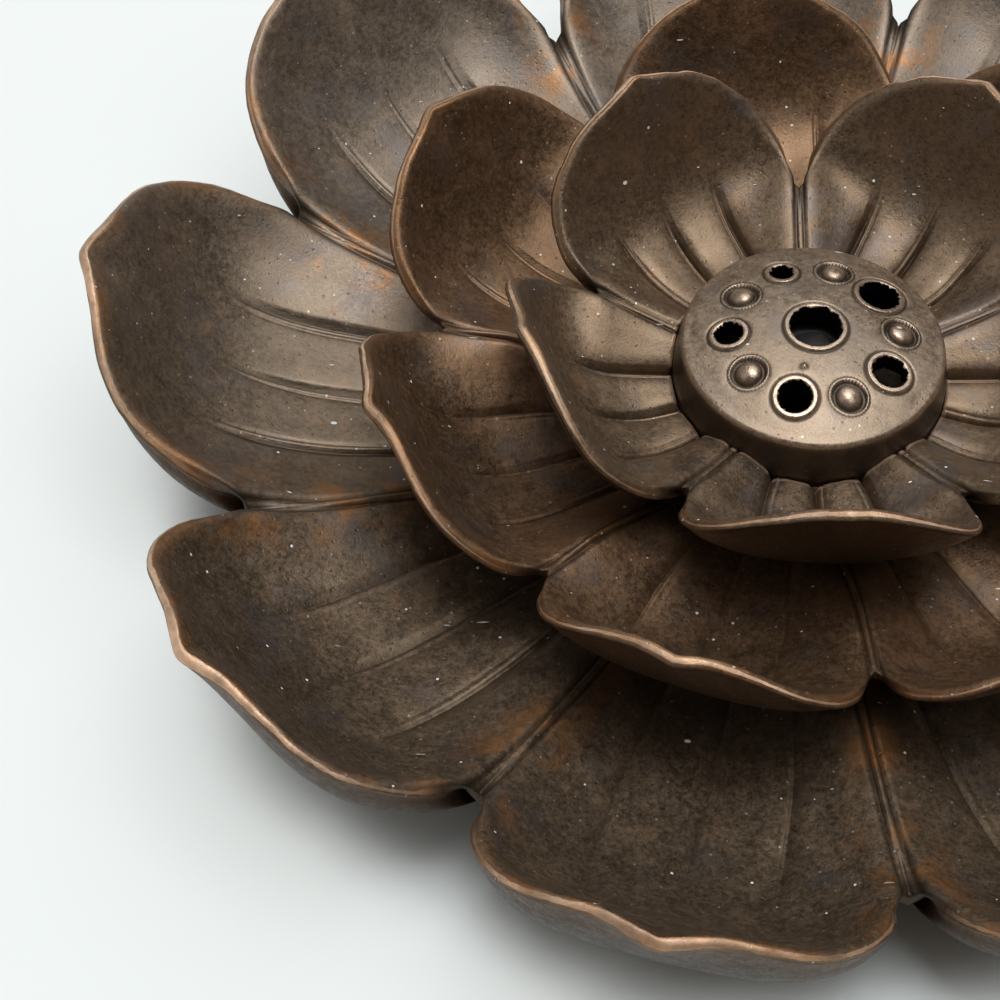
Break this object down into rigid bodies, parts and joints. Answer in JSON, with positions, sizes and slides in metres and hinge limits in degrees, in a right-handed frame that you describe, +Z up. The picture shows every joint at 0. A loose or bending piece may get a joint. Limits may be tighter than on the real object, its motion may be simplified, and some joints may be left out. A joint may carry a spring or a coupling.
{
  "type": "incense burner",
  "caption": "Low lotus incense burner of stacked cast petal tiers that turn on a centre screw, with a perforated seed pod that holds sticks and lifts out.",
  "frame": {"origin": "on the centre screw's axis, at the level of the surface the rubber pads stand on", "axes": "+Z up along the centre screw; -Y points along the midrib of one upper petal, towards the front"},
  "size_m": [0.1184, 0.1186, 0.0268],
  "materials": {
    "petal_bronze": "dark brown antique patina, rubbed to bright copper on the rims",
    "pod_bronze": "dark brown antique patina, satin",
    "fastener_steel": "black-oxide steel, dull",
    "pad_rubber": "matt"
  },
  "bodies": {
    "base": {"lower_petals": "petal_bronze", "lower_collar": "petal_bronze", "upper_collar": "petal_bronze", "centre_screw": "fastener_steel", "screw_washer": "fastener_steel", "spring_washer": "fastener_steel", "centre_nut": "fastener_steel", "foot_pad_1": "pad_rubber", "foot_pad_2": "pad_rubber", "foot_pad_3": "pad_rubber"},
    "middle_tier": {"middle_petals": "petal_bronze"},
    "upper_tier": {"upper_petals": "petal_bronze"},
    "pod": {"seed_pod": "pod_bronze"}
  },
  "joints": [
    {"name": "middle_tier_turn", "type": "hinge", "parent": "base", "child": "middle_tier", "pos_m": [0, 0, 0.0097], "axis": [0, 0, 1], "continuous": true},
    {"name": "upper_tier_turn", "type": "hinge", "parent": "base", "child": "upper_tier", "pos_m": [0, 0, 0.0123], "axis": [0, 0, 1], "continuous": true},
    {"name": "seed_pod_lift", "type": "slide", "parent": "upper_tier", "child": "pod", "axis": [0, 0, 1], "range_m": [0, 0.012]}
  ]
}
